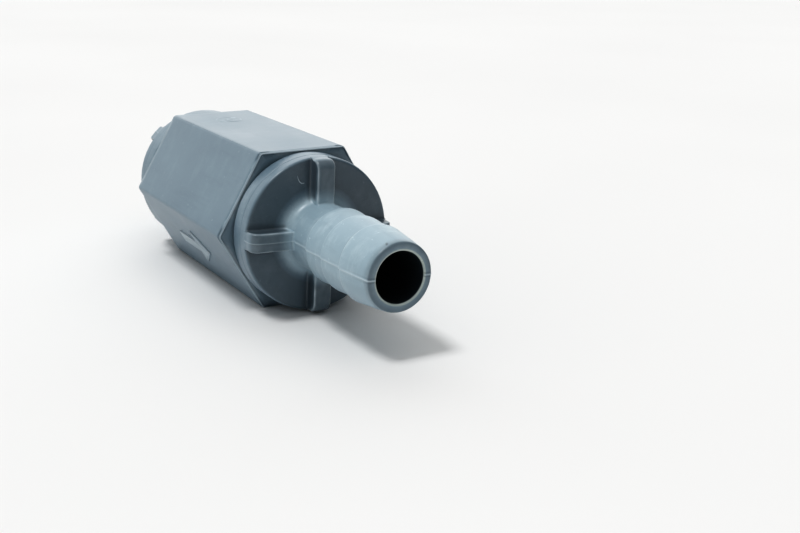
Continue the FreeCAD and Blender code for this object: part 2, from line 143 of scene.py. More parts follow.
# a mesh from rows of points; every row goes once round, and either the last row joins the
# first or both ends are capped
def gridMesh(name, rows, capped=False, rubsAndPaintedLight=None):
    columns = len(rows[0])
    count = len(rows)
    vertices = [point * mm for row in rows for point in row]
    faces = []
    for i in range(count - 1 if capped else count):
        j = (i + 1) % count
        for k in range(columns):
            n = (k + 1) % columns
            faces.append((i * columns + k, i * columns + n, j * columns + n, j * columns + k))
    if capped:
        faces.append(tuple(reversed(range(columns))))
        faces.append(tuple(range((count - 1) * columns, count * columns)))
    mesh = bpy.data.meshes.new(name)
    mesh.from_pydata(vertices, [], faces)
    # each point's painted highlight (above 0) and painted shade (below 0), with the rubbed marks
    if rubsAndPaintedLight:
        layer = mesh.attributes.new("rubbedAndPaintedLight", "FLOAT", "POINT")
        layer.data.foreach_set("value", [value for row in rubsAndPaintedLight for value in row])
    return mesh


def finishMesh(mesh, sharpAngle):
    weld = 1e-7
    work = bmesh.new()
    work.from_mesh(mesh)
    bmesh.ops.remove_doubles(work, verts=work.verts, dist=weld)
    bmesh.ops.dissolve_degenerate(work, edges=work.edges, dist=weld)
    bmesh.ops.recalc_face_normals(work, faces=work.faces)
    work.to_mesh(mesh)
    work.free()
    mesh.shade_smooth()
    mesh.set_sharp_from_angle(angle=math.radians(sharpAngle))
    mesh.update()
    return mesh


def joined(name, meshes):
    work = bmesh.new()
    for mesh in meshes:
        work.from_mesh(mesh)
    result = bpy.data.meshes.new(name)
    work.to_mesh(result)
    work.free()
    return result


def addPiece(name, mesh, body, material, node):
    piece = bpy.data.objects.new(name, mesh)
    scene.collection.objects.link(piece)
    mesh.materials.clear()
    mesh.materials.append(material)
    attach(piece, body)
    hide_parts(node)
    return piece


# one small node builder serves every material

class Nodes:
    def __init__(self, name):
        self.material = bpy.data.materials.new(name)
        self.material.use_nodes = True
        self.tree = self.material.node_tree
        self.shader = self.tree.nodes["Principled BSDF"]
        self.place = self.make("ShaderNodeTexCoord").outputs["Object"]

    def make(self, kind, **settings):
        node = self.tree.nodes.new(kind)
        for key, value in settings.items():
            if key in node.inputs:
                node.inputs[key].default_value = value
            else:
                setattr(node, key, value)
        return node

    def link(self, output, target):
        self.tree.links.new(output, target)

    def noiseOf(self, scale, detail, roughness=0.5, stretch=(1, 1, 1)):
        scaled = self.make("ShaderNodeMapping")
        scaled.inputs["Scale"].default_value = stretch
        self.link(self.place, scaled.inputs["Vector"])
        texture = self.make("ShaderNodeTexNoise", Scale=scale, Detail=detail, Roughness=roughness)
        self.link(scaled.outputs["Vector"], texture.inputs["Vector"])
        return texture.outputs["Fac"]

    # distance from the flow axis, in metres
    def fromAxis(self):
        parts = self.make("ShaderNodeSeparateXYZ")
        self.link(self.place, parts.inputs["Vector"])
        flat = self.make("ShaderNodeCombineXYZ")
        self.link(parts.outputs["Y"], flat.inputs["Y"])
        self.link(parts.outputs["Z"], flat.inputs["Z"])
        length = self.make("ShaderNodeVectorMath", operation="LENGTH")
        self.link(flat.outputs["Vector"], length.inputs[0])
        return length.outputs["Value"]

    def ramp(self, value, low, high, lowColour, highColour):
        node = self.make("ShaderNodeValToRGB")
        node.color_ramp.elements[0].position = low
        node.color_ramp.elements[1].position = high
        node.color_ramp.elements[0].color = tone(lowColour)
        node.color_ramp.elements[1].color = tone(highColour)
        self.link(value, node.inputs["Fac"])
        return node.outputs["Color"]

    # greys along a value that runs from 0 to 1: each is (place, level, warmth), places out of whole
    def steps(self, value, radialLightAndShade, whole):
        node = self.make("ShaderNodeValToRGB")
        elements = node.color_ramp.elements
        while len(elements) < len(radialLightAndShade):
            elements.new(0.5)
        for element, (place, grey, warmth) in zip(elements, radialLightAndShade):
            element.position = place / whole
            element.color = (grey * (1 + warmth), grey, grey * (1 - warmth), 1.0)
        self.link(value, node.inputs["Fac"])
        return node.outputs["Color"]

    def level(self, value, low, high, outLow, outHigh):
        node = self.make("ShaderNodeMapRange")
        node.inputs["From Min"].default_value = low
        node.inputs["From Max"].default_value = high
        node.inputs["To Min"].default_value = outLow
        node.inputs["To Max"].default_value = outHigh
        self.link(value, node.inputs["Value"])
        return node.outputs["Result"]

    # lays a plain colour over the base, as much as the factor says
    def cover(self, base, factor, colour):
        node = self.make("ShaderNodeMix", data_type="RGBA")
        self.link(factor, node.inputs["Factor"])
        self.link(base, node.inputs[6])
        node.inputs[7].default_value = tone(colour)
        return node.outputs[2]

    def multiply(self, base, gain):
        node = self.make("ShaderNodeMix", data_type="RGBA", blend_type="MULTIPLY")
        node.inputs["Factor"].default_value = 1.0
        self.link(base, node.inputs[6])
        self.link(gain, node.inputs[7])
        return node.outputs[2]

    # each height is (value, strength, distance in metres)
    def bump(self, heights):
        normal = None
        for value, strength, distance in heights:
            node = self.make("ShaderNodeBump", Strength=strength, Distance=distance)
            self.link(value, node.inputs["Height"])
            if normal is not None:
                self.link(normal, node.inputs["Normal"])
            normal = node.outputs["Normal"]
        self.link(normal, self.shader.inputs["Normal"])

    def paint(self, base, roughness):
        self.link(base, self.shader.inputs["Base Color"])
        self.link(roughness, self.shader.inputs["Roughness"])


def tone(colour):
    return (*colour, 1.0)


plasticLook = {
    "colour": (0.165, 0.235, 0.290),
    "paler": (0.200, 0.275, 0.330),
    "darker": (0.130, 0.190, 0.240),
    # a pale colour for scuffs, specks and painted highlights, and a dark one for painted shade and a dark
    # nick
    "paleWearAndHighlight": (0.56, 0.65, 0.70),
    "paintedShadeAndMarks": (0.045, 0.060, 0.075),
    "cloudScale": 90,
    "scuffScale": 300,
    "streakScale": 420,
    "fineScale": 1400,
    "grainScale": 5200,
    "darkStreaks": 0.35,
    "paleSpecks": 0.28,
    "tail": {"scuffs": 0.13, "roughness": (0.29, 0.41)},
    "body": {"scuffs": 0.05, "roughness": (0.30, 0.42)},
    # how strong the painted highlights and shade are: on a tail from its mesh, on the body from its edges
    "paintedLightAndRubs": 0.85,
    "edgeHighlightAndShade": 0.55,
    "refraction": 1.56,
}


# moulded plastic: flow marks, faint mottling, pale specks and fine rubbed scratches, with painted highlights
# along edges and painted shade in creases; a tail's mesh carries its own painted highlights, painted shade
# and dark nick, and the radial steps paint light and shade on it by its radius
def mouldedPlastic(name, noiseShare, radialLightAndShade=None):
    look = plasticLook
    own = look["tail"] if radialLightAndShade else look["body"]
    nodes = Nodes(name)
    cloudy = nodes.noiseOf(look["cloudScale"] * noiseShare, 4.0, 0.55, (0.6, 1.0, 1.0))
    fine = nodes.noiseOf(look["fineScale"], 3.0, 0.6)
    grain = nodes.noiseOf(look["grainScale"], 2.0)
    streaks = nodes.noiseOf(look["streakScale"], 3.0, 0.6, (0.12, 1.0, 1.0))
    scuffs = nodes.noiseOf(look["scuffScale"] * noiseShare, 6.0, 0.72, (1.0, 0.45, 0.45))
    base = nodes.ramp(cloudy, 0.36, 0.66, look["colour"], look["paler"])
    base = nodes.cover(base, nodes.level(streaks, 0.55, 0.75, 0.0, look["darkStreaks"]), look["darker"])
    base = nodes.cover(base, nodes.level(fine, 0.67, 0.76, 0.0, look["paleSpecks"]), look["paleWearAndHighlight"])
    base = nodes.cover(base, nodes.level(scuffs, 0.50, 0.68, 0.0, own["scuffs"]), look["paleWearAndHighlight"])
    if radialLightAndShade:
        # painted light and shade by radius: shade in the bore, on the tip face and on the flange, highlights
        # on the bore edge and the barbs
        widest = 16.0
        share = nodes.level(nodes.fromAxis(), 0.0, widest * mm, 0.0, 1.0)
        base = nodes.multiply(base, nodes.steps(share, radialLightAndShade, widest))
        # the tail's painted highlights, its painted shade and its dark nick come from its mesh
        edges = nodes.make("ShaderNodeAttribute", attribute_name="rubbedAndPaintedLight").outputs["Fac"]
        bright = nodes.level(edges, 0.0, 1.0, 0.0, look["paintedLightAndRubs"])
        dark = nodes.level(edges, -1.0, 0.0, look["paintedLightAndRubs"], 0.0)
    else:
        # on the body, a painted highlight along the convex edges and painted shade in the concave creases
        edges = nodes.make("ShaderNodeNewGeometry").outputs["Pointiness"]
        bright = nodes.level(edges, 0.512, 0.56, 0.0, look["edgeHighlightAndShade"])
        dark = nodes.level(edges, 0.44, 0.492, look["edgeHighlightAndShade"], 0.0)
    # painted highlights go on in the pale colour, then painted shade, with a tail's dark nick, in the dark
    # colour
    base = nodes.cover(base, bright, look["paleWearAndHighlight"])
    base = nodes.cover(base, dark, look["paintedShadeAndMarks"])
    nodes.paint(base, nodes.level(cloudy, 0.3, 0.7, *own["roughness"]))
    nodes.bump([(grain, 0.10, 0.00004), (fine, 0.10, 0.00008), (streaks, 0.06, 0.00010)])
    nodes.shader.inputs["IOR"].default_value = look["refraction"]
    nodes.shader.inputs["Specular IOR Level"].default_value = 0.5
    return nodes.material


# rubber and acetal: a faintly cloudy colour with a fine grain
def plainPlastic(name, look):
    nodes = Nodes(name)
    cloudy = nodes.noiseOf(look["cloudScale"], 3.0)
    fine = nodes.noiseOf(look["fineScale"], 2.0)
    nodes.paint(nodes.ramp(cloudy, 0.35, look["palest"], look["colour"], look["paler"]),
                nodes.level(cloudy, 0.3, 0.7, *look["roughness"]))
    nodes.bump([(fine, *look["grain"])])
    return nodes.material


def turnedMetal(name, colour, darker, roughness):
    nodes = Nodes(name)
    rings = nodes.noiseOf(9000, 2.0, 0.5, (1.0, 0.05, 0.05))
    cloudy = nodes.noiseOf(500, 3.0)
    nodes.paint(nodes.ramp(cloudy, 0.3, 0.7, darker, colour), nodes.level(rings, 0.3, 0.7, *roughness))
    nodes.shader.inputs["Metallic"].default_value = 1.0
    nodes.bump([(rings, 0.15, 0.00003)])
    return nodes.material


rubberLook = {
    "colour": (0.012, 0.012, 0.013), "paler": (0.03, 0.03, 0.032), "palest": 0.7, "roughness": (0.55, 0.72),
    "cloudScale": 700, "fineScale": 5000, "grain": (0.2, 0.00003),
}
poppetLook = {
    "colour": (0.02, 0.02, 0.022), "paler": (0.032, 0.032, 0.035), "palest": 0.68, "roughness": (0.32, 0.46),
    "cloudScale": 260, "fineScale": 3600, "grain": (0.12, 0.00004),
}
guideLook = {
    "colour": (0.66, 0.65, 0.61), "paler": (0.74, 0.73, 0.70), "palest": 0.68, "roughness": (0.35, 0.49),
    "cloudScale": 260, "fineScale": 3600, "grain": (0.12, 0.00004),
}
# painted light and shade on the tail at each radius in millimetres, and how warm: painted shade in the bore,
# a painted highlight on the bore edge, painted shade on the tip face, paler barbs where the light falls, and
# painted shade on the flange face and ribs
tailRadialLightAndShade = [
    (4.50, 0.16, 0), (4.58, 0.16, 0),
    (4.63, 2.3, 0.2), (4.84, 2.1, 0.2),
    (5.02, 1.15, 0), (6.05, 0.70, 0),
    (6.35, 1.66, 0.05), (7.15, 1.82, 0.06),
    (8.6, 0.88, 0), (9.4, 0.58, 0), (14.3, 0.58, 0), (14.66, 1.0, 0),
]
bodyPlastic = mouldedPlastic("bodyPlastic", 1.0)
tailPlastic = mouldedPlastic("tailPlastic", 1.15, tailRadialLightAndShade)
sealRubber = plainPlastic("sealRubber", rubberLook)
poppetAcetal = plainPlastic("poppetAcetal", poppetLook)
guideAcetal = plainPlastic("guideAcetal", guideLook)
seatBrass = turnedMetal("seatBrass", (0.78, 0.57, 0.27), (0.62, 0.44, 0.20), (0.24, 0.40))
stainlessSteel = turnedMetal("stainlessSteel", (0.64, 0.64, 0.65), (0.50, 0.50, 0.51), (0.26, 0.42))
springSteel = turnedMetal("springSteel", (0.55, 0.55, 0.57), (0.40, 0.40, 0.42), (0.22, 0.38))
print("materials made")


# the screw thread is shared by the body and the tails

threadCut = {
    "pitch": 2.0,
    "depth": 0.9,
    "flat": 0.2,
    "flank": 30,
    "clearance": 0.15,
    "majorRadius": 12.0,
    "run": 6.4,
    "relief": 1.2,
    "leadIn": 1.6,
    "tailRows": 58,
    "bodyRows": 60,
}


# how far a ridge stands above the thread's root, at a share of the pitch from the ridge's middle
def ridgeHeight(share, flat):
    away = abs((share + 0.5) % 1.0 - 0.5) * threadCut["pitch"]
    height = threadCut["depth"] - (away - flat) / math.tan(math.radians(threadCut["flank"]))
    return min(threadCut["depth"], max(0.0, height))


# hose tails are drawn with x = 0 at the end face of the body

tailShape = {
    "bore": 4.55, "boreChamfer": 0.25, "funnel": 3.0, "funnelRun": 2.0,
    "tip": 6.25, "tipRound": 0.8, "tipRun": 0.9, "tipDraft": 0.12, "taperRun": 2.0, "taper": 0.16,
    "root": 6.5, "rootFillet": 2.0, "barrelStart": 9.7,
    "crest": 7.15, "valley": 6.65, "land": 0.4, "barbLean": 0.05,
    "shoulder": 13.2, "shoulderEnd": 0.5, "faceInner": 11.0,
    "flangeFace": 5.9, "flange": 14.7, "rimRelief": 0.02, "flangeRound": 0.6,
    "witness": 3.5, "witnessDepth": 0.05,
    "ribHalf": 1.75, "ribTop": 8.9, "ribEnd": 14.6, "ribCorner": 1.8, "ribEdge": 0.42, "ribFoot": 0.35,
    "ribSink": 0.4, "ribLean": 0.01,
    "spigot": 10.1, "spigotBore": 7.4, "spigotChamfer": 0.3, "gland": (-10.775, -8.425), "glandFloor": 8.8,
    "flash": 0.09, "flashHalf": 0.085, "flashFrom": 5.95,
    "stepAlong": 0.22, "stepOut": 0.06, "stepStart": (11.0, 14.0), "stepEnd": (30.0, 33.0),
    "roundRows": 9, "straightRows": 8, "filletRows": 11,
    "topColumns": (0.0, 0.03, 0.06, 0.10, 0.35, 0.7), "edgeColumns": 6, "footColumns": 5, "openColumns": 13,
}
outletTail = {"turn": -2.0, "barbs": (15.0, 20.7, 27.4), "tip": outletHigh.x - bodyHigh.x, "seed": 3.1}
inletTail = {"turn": 45.0, "barbs": (11.0, 17.4), "tip": bodyLow.x - inletLow.x, "seed": 8.7}


# the outlines behind the flange, over its rim, and from the barrel to the tip and into the bore
def tailProfiles(tail):
    s = tailShape
    tip = tail["tip"]
    rim = s["flange"] - s["rimRelief"]
    line = s["witness"]
    behind = [
        (s["funnel"], s["bore"]), (-s["funnel"], s["spigotBore"]), (-spigotLength, s["spigotBore"]),
        (-spigotLength, s["spigot"] - s["spigotChamfer"]), (-spigotLength + s["spigotChamfer"], s["spigot"]),
        (s["gland"][0], s["spigot"]), (s["gland"][0], s["glandFloor"]),
        (s["gland"][1], s["glandFloor"]), (s["gland"][1], s["spigot"]),
        (-threadCut["run"] - threadCut["relief"], s["spigot"]),
    ]
    behindRadii = [2.0, 1.5, 0.1, 0.1, 0.1, 0.08, 0.08, 0.08, 0.08, 0.0]
    flange = [
        (0.0, s["faceInner"]), (0.0, s["shoulder"]), (s["shoulderEnd"], s["shoulder"]),
        (s["shoulderEnd"], rim), (line, s["flange"]), (line + 0.06, s["flange"] - s["witnessDepth"]),
        (line + 0.16, rim), (s["flangeFace"] - s["flangeRound"], rim),
    ]
    flangeRadii = [0.0, 0.1, 0.1, 0.35, 0.02, 0.02, 0.02, 0.0]
    front = [(s["barrelStart"], s["root"])]
    frontRadii = [0.0]
    for number, start in enumerate(tail["barbs"]):
        low = s["root"] if number == 0 else s["valley"]
        front += [(start, low), (start + s["barbLean"], s["crest"]), (start + s["land"], s["crest"])]
        frontRadii += [0.12, 0.13, 0.5]
    front += [
        (tip - s["taperRun"], s["tip"] + s["taper"]), (tip - s["tipRun"], s["tip"]),
        (tip, s["tip"] - s["tipDraft"]),
        (tip, s["bore"] + s["boreChamfer"]), (tip - s["boreChamfer"], s["bore"]),
        (s["funnel"] + s["funnelRun"], s["bore"]),
    ]
    frontRadii += [0.1, 0.12, s["tipRound"], 0.06, 0.06, 0.0]
    return (refill(soften(behind, behindRadii, 4), 1.5, False),
            refill(soften(flange, flangeRadii, 4), 1.0, False),
            refill(soften(front, frontRadii, 5), 0.7, False))


# the rows that cross the ribs; each is the plain flange point and its normal, then the point on
# top of a rib and its normal
def ribRows():
    s = tailShape
    face = s["flangeFace"]
    rim = s["flange"] - s["rimRelief"]
    rimRound = s["flangeRound"]
    corner = s["ribCorner"]
    fillet = s["rootFillet"]
    sink = s["ribSink"]
    cornerMiddle = s["ribEnd"] - corner
    inner = s["root"] + fillet
    along = Vector((1.0, 0.0))
    outward = Vector((0.0, 1.0))
    rows = []

    # over the rounded rim of the flange
    for t in spread(0, 1, s["roundRows"])[1:]:
        angle = t * math.pi / 2
        plain = Vector((face - rimRound * (1 - math.sin(angle)), rim - rimRound * (1 - math.cos(angle))))
        topRadius = mix(rim, s["ribEnd"], smooth(0, 0.5, t))
        top = Vector((mix(face - rimRound, s["ribTop"] - corner, t), topRadius))
        rows.append((plain, Vector((math.sin(angle), math.cos(angle))), top, outward))

    # round the outer corner of the rib
    for t in spread(0, 1, s["roundRows"])[1:]:
        angle = t * math.pi / 2
        plain = Vector((face, mix(rim - rimRound, cornerMiddle, t)))
        top = Vector((s["ribTop"] - corner * (1 - math.sin(angle)), cornerMiddle + corner * math.cos(angle)))
        rows.append((plain, along, top, Vector((math.sin(angle), math.cos(angle)))))

    # straight down the rib
    for t in spread(0, 1, s["straightRows"])[1:]:
        radius = mix(cornerMiddle, inner, t)
        rows.append((Vector((face, radius)), along, Vector((s["ribTop"], radius)), along))

    # round the fillet of the barrel, where the rib runs out
    for t in spread(0, 1, s["filletRows"])[1:]:
        angle = t * math.pi / 2
        plain = Vector((face + fillet * (1 - math.cos(angle)), inner - fillet * math.sin(angle)))
        rise = max(0.0, 1 - (plain.y - s["root"]) / sink)
        top = Vector((s["ribTop"] + sink * (1 - math.sqrt(max(0.0, 1 - rise * rise))), plain.y))
        rows.append((plain, polar(1, angle), top, Vector((1.0, 0.3 * rise)).normalized()))
    return rows


# the columns of the tail's grid: offsets from a rib's middle over its top, wall and foot, and
# shares of the gap to the next rib; each is (quarter, offset, kind, amount, share)
def tailColumns():
    s = tailShape
    half = s["ribHalf"]
    edge = s["ribEdge"]
    foot = s["ribFoot"]
    lean = s["ribLean"]
    offsets = [(offset, "top", 0.0) for offset in s["topColumns"]]
    for angle in spread(0, math.pi / 2, s["edgeColumns"]):
        offsets.append((half - edge + edge * math.sin(angle), "top", edge * (1 - math.cos(angle))))
    offsets.append((half + lean, "wall", 0.66))
    offsets.append((half + 2 * lean, "wall", 0.33))
    for angle in spread(0, math.pi / 2, s["footColumns"]):
        offset = half + 3 * lean + foot * (1 - math.cos(angle))
        offsets.append((offset, "foot", foot * (1 - math.sin(angle))))
    lastOffset = offsets[-1][0]
    columns = []
    for quarter in range(4):
        for offset, kind, amount in offsets:
            columns.append((quarter, offset, kind, amount, None))
        for share in spread(0, 1, s["openColumns"] + 2)[1:-1]:
            columns.append((quarter, lastOffset, "open", 0.0, share))
        for offset, kind, amount in reversed(offsets[1:]):
            columns.append((quarter + 1, -offset, kind, amount, None))
    return columns, lastOffset


def columnAngle(column, radius, lastOffset):
    quarter, offset = column[:2]
    share = column[4]
    if share is None:
        return quarter * math.pi / 2 + math.asin(offset / radius)
    edge = math.asin(lastOffset / radius)
    return quarter * math.pi / 2 + mix(edge, math.pi / 2 - edge, share)


# the two mould halves meet at z = 0 in the tail's own frame, and they don't meet quite true
def mouldMarks(x, radius, normal, angle, seed):
    s = tailShape
    across = radius * math.sin(angle)
    lower = smooth(-s["flashHalf"], s["flashHalf"], -across)
    alongTip = smooth(*s["stepStart"], x) * (1 - smooth(*s["stepEnd"], x))
    x += lower * alongTip * s["stepAlong"]
    radius -= lower * alongTip * s["stepOut"]
    if radius > s["bore"] + 0.2 and x > s["flashFrom"]:
        strength = 0.55 + 0.45 * wobble(x * 0.5, radius * 0.5, math.cos(angle), seed)
        rise = s["flash"] * strength * bell(across, s["flashHalf"])
        x += normal.x * rise
        radius += normal.y * rise
    return x, radius


# painted highlights along the flash, on the barb crests, round the tip and on the rib edges, and painted
# shade beside the flash, in the barb valleys and on the rib walls and feet, with a dark nick and slightly
# paler rib tops
# places are along the tail from a barb's start or back from the tip; each band is (place, half
# width, strength)
tailPaintedLightAndWear = {
    "partingLineHighlight": 0.11,
    "besideLineShade": (0.26, 0.08, 0.55),
    "crestHighlight": (0.14, 0.15, 0.95),
    "valleyShade": (-0.10, 0.10, 0.95),
    "tipHighlight": (0.95, 0.17, 0.7),
    "taperHighlight": (2.0, 0.14, 0.4),
    "nick": (1.0, 0.22, 1.5),
    "nickAngle": 113,
    "ribTop": 0.13,
    "ribEdge": 0.7,
    "ribWallShade": -0.85,
    "ribFoot": -0.6,
    "ribLineHighlight": 0.5,
}


# bright (up to 1) where a highlight is painted, dark (down to -1) where shade is painted and at the dark
# nick
def rubAndPaintedLightOf(x, radius, angle, tail):
    s = tailShape
    lightAndWear = tailPaintedLightAndWear
    if x < s["flangeFace"] + 0.3 or radius < s["bore"] + 0.1:
        return 0.0
    across = radius * math.sin(angle)
    back = tail["tip"] - x
    patchy = 0.7 + 0.9 * wobble(math.cos(angle) * 2.2, math.sin(angle) * 2.2, x * 0.45, tail["seed"])
    # a painted highlight along the flash of the parting line, and painted shade in bands beside it
    rubAndPaintedLight = bell(across, lightAndWear["partingLineHighlight"]) * min(1.0, 0.65 + patchy * 0.6)
    place, width, strength = lightAndWear["besideLineShade"]
    rubAndPaintedLight -= strength * bell(abs(across) - place, width)
    if radius > s["root"] + 0.1 and x > 10:
        for start in tail["barbs"]:
            # painted highlights on the barb crests, and painted shade in the valley before each barb
            place, width, strength = lightAndWear["crestHighlight"]
            rubAndPaintedLight += strength * patchy * bell(x - start - place, width)
            place, width, strength = lightAndWear["valleyShade"]
            rubAndPaintedLight -= strength * patchy * bell(x - start - place, width)
        # painted highlights round the tip and where its taper starts
        for place, width, strength in (lightAndWear["tipHighlight"], lightAndWear["taperHighlight"]):
            rubAndPaintedLight += strength * patchy * bell(back - place, width)
    place, width, strength = lightAndWear["nick"]
    away = math.hypot(back - place, (angle - math.radians(lightAndWear["nickAngle"])) * radius)
    rubAndPaintedLight -= strength * bell(away, width)
    return max(-1.0, min(1.0, rubAndPaintedLight))


def outlineNormals(points):
    normals = []
    for k in range(len(points)):
        along = points[min(len(points) - 1, k + 1)] - points[max(0, k - 1)]
        normals.append(Vector((-along.y, along.x)).normalized() if along.length > 0 else Vector((0, 1)))
    return normals


# where one column stands on a row that crosses the ribs, and how much painted highlight and shade it gets
# there
def ribPoint(column, ribRow, lastOffset, seed):
    s = tailShape
    lightAndWear = tailPaintedLightAndWear
    quarter, offset, kind, amount = column[:4]
    plain, plainNormal, top, topNormal = ribRow
    x, radius = plain
    angle = columnAngle(column, radius, lastOffset)

    # a rib's edges and feet, and the painted highlights and shade on them, fade where it runs out at the
    # barrel
    ease = min(1.0, (top - plain).length / (s["ribEdge"] + s["ribFoot"]))
    ease *= smooth(s["root"], s["root"] + 0.7, radius)
    fade = ease * smooth(s["root"] + 0.1, s["root"] + 1.3, radius)
    rubAndPaintedLight = 0.0
    if kind == "top":
        onEdge = min(1.0, 2.2 * amount / s["ribEdge"]) * (amount < s["ribEdge"] * 0.95)
        # slightly paler rib tops, and painted highlights along the rounded rib edges
        rubAndPaintedLight = lightAndWear["ribTop"] * ease + lightAndWear["ribEdge"] * fade * onEdge
        rubAndPaintedLight *= 0.75 + 0.8 * wobble(radius * 0.7, offset, quarter * 3.0, seed)
        x, radius = top - topNormal * amount * ease
        if quarter % 2 == 0:
            x, radius = mouldMarks(x, radius, topNormal, angle, seed)
            # painted highlights along the flash where the parting line crosses a rib
            line = bell(offset, 0.085) + 0.7 * bell(offset - 0.6, 0.10)
            rubAndPaintedLight = max(rubAndPaintedLight, lightAndWear["ribLineHighlight"] * line)
    elif kind == "wall":
        low = plain + plainNormal * s["ribFoot"] * ease
        high = top - topNormal * s["ribEdge"] * ease
        x, radius = low.lerp(high, amount)
        # painted shade on the rib walls
        rubAndPaintedLight = lightAndWear["ribWallShade"] * fade
    elif kind == "foot":
        x, radius = plain + plainNormal * amount * ease
        # painted shade at the rib feet
        rubAndPaintedLight = lightAndWear["ribFoot"] * fade
    return turned(x, radius, angle), max(-1.0, min(1.0, rubAndPaintedLight))


def tailThread(columns, lastOffset, turn):
    s = tailShape
    cut = threadCut
    end = -cut["relief"]
    start = end - cut["run"]
    root = cut["majorRadius"] - cut["depth"]
    rows = []
    for x in spread(start, end, cut["tailRows"]):
        leadIn = s["spigot"] + (x - start) * (cut["majorRadius"] - s["spigot"]) / cut["leadIn"]
        row = []
        for column in columns:
            angle = columnAngle(column, s["root"], lastOffset)
            share = (x - start) / cut["pitch"] - (angle + turn) / (2 * math.pi)
            radius = min(root + ridgeHeight(share, cut["flat"]), max(s["spigot"], leadIn))
            row.append(turned(x, radius, angle))
        rows.append(row)
    return rows


def tailMesh(name, tail):
    s = tailShape
    columns, lastOffset = tailColumns()
    behind, flange, front = tailProfiles(tail)
    rows = []
    rubsAndPaintedLight = []

    def plainRow(x, radius, angleRadius, normal=None):
        row = []
        rubAndPaintedLight = []
        for column in columns:
            angle = columnAngle(column, angleRadius, lastOffset)
            place = (x, radius)
            if normal is not None:
                place = mouldMarks(x, radius, normal, angle, tail["seed"])
            row.append(turned(*place, angle))
            rubAndPaintedLight.append(rubAndPaintedLightOf(x, radius, angle, tail))
        rows.append(row)
        rubsAndPaintedLight.append(rubAndPaintedLight)

    for point in behind:
        plainRow(point.x, point.y, s["root"])
    for row in tailThread(columns, lastOffset, math.radians(tail["turn"])):
        rows.append(row)
        rubsAndPaintedLight.append([0.0] * len(columns))
    plainRow(-threadCut["relief"] + 0.02, threadCut["majorRadius"] - threadCut["depth"] - 0.1, s["root"])
    for point in flange:
        plainRow(point.x, point.y, point.y)
    for ribRow in ribRows():
        places = [ribPoint(column, ribRow, lastOffset, tail["seed"]) for column in columns]
        rows.append([point for point, rubAndPaintedLight in places])
        rubsAndPaintedLight.append([rubAndPaintedLight for point, rubAndPaintedLight in places])
    for point, normal in zip(front, outlineNormals(front)):
        plainRow(point.x, point.y, s["root"], normal)

    barrel = gridMesh(name, rows, rubsAndPaintedLight=rubsAndPaintedLight)
    return finishMesh(joined(name, [barrel, burrMesh(tail["seed"])]), 38)


# each place along the burr is (radius, angle, half width)
burrShape = {
    "path": [
        (12.3, 111.6, 0.02), (11.9, 112.0, 0.07), (11.4, 112.0, 0.12), (10.95, 111.6, 0.15),
        (10.6, 110.2, 0.16), (10.5, 108.6, 0.13), (10.45, 107.2, 0.05),
    ],
    "section": [(-1, 0), (-0.55, 0.75), (0, 1), (0.55, 0.75), (1, 0), (0, -0.4)],
    "rubsAndPaintedLight": [0.0, 0.6, 0.9, 0.6, 0.0, 0.0],
    "height": 1.1,
    "sink": 0.02,
}


# a thin curled burr that the mould left standing on the flange face, between two ribs
def burrMesh(seed):
    s = burrShape
    up = Vector((1, 0, 0))
    spots = [turned(tailShape["flangeFace"], r, math.radians(angle)) for r, angle, width in s["path"]]
    rows = []
    for k, spot in enumerate(spots):
        along = (spots[min(k + 1, len(spots) - 1)] - spots[max(k - 1, 0)]).normalized()
        side = along.cross(up)
        width = s["path"][k][2]
        lift = width * s["height"] + 0.03 * wobble(k, 0.3, 0.2, seed)
        row = []
        for a, b in s["section"]:
            rise = b * lift if b else -s["sink"]
            row.append(spot + side * width * a + up * rise)
        rows.append(row)
    return gridMesh("burr", rows, True, [s["rubsAndPaintedLight"]] * len(rows))


def placeTail(name, node, end, facing, tail):
    mesh = tailMesh(name, tail)
    roll = Matrix.Rotation(math.radians(tail["turn"]), 4, "X")
    face = Matrix.Rotation(math.radians(facing), 4, "Z")
    mesh.transform(Matrix.Translation((end * mm, 0, 0)) @ face @ roll)
    addPiece(name, mesh, "housing", tailPlastic, node)


placeTail("outletTailMoulding", "outlet_tail", bodyHigh.x, 0, outletTail)
placeTail("inletTailMoulding", "inlet_tail", bodyLow.x, 180, inletTail)
print("hose tails built")


# hexagonal valve body, drawn about its own middle

bodyShape = {
    "edgeRound": 0.9, "endRound": 0.35, "sink": 0.05, "sinkRun": 9.0,
    "flash": 0.05, "flashHalf": 0.05, "flashCorners": (2, 5),
    "mouth": 12.25, "chamber": 8.8, "sealBore": 10.2, "guideFace": 8.5, "seatFace": -5.5,
    "threadEnd": 7.6, "threadRoom": 0.6, "sealLead": 0.3,
    "outsideRows": 46, "roundRows": 6, "faceRows": 7, "edgeColumns": 9, "flatColumns": 20,
}
arrowShape = {
    "length": 15.0, "head": 6.0, "headWidth": 8.0, "shaft": 2.6, "height": 0.3, "root": -0.25,
    "round": 0.13, "flatAngle": 120,
}
gateShape = {
    "at": -13.0, "sink": 0.07, "segments": 48,
    "outline": [
        (-0.2, 0.02), (0.05, 0.02), (0.07, 0.7), (-0.03, 1.0), (-0.03, 2.1), (0.06, 2.35), (0.06, 2.65),
        (-0.2, 2.85),
    ],
}


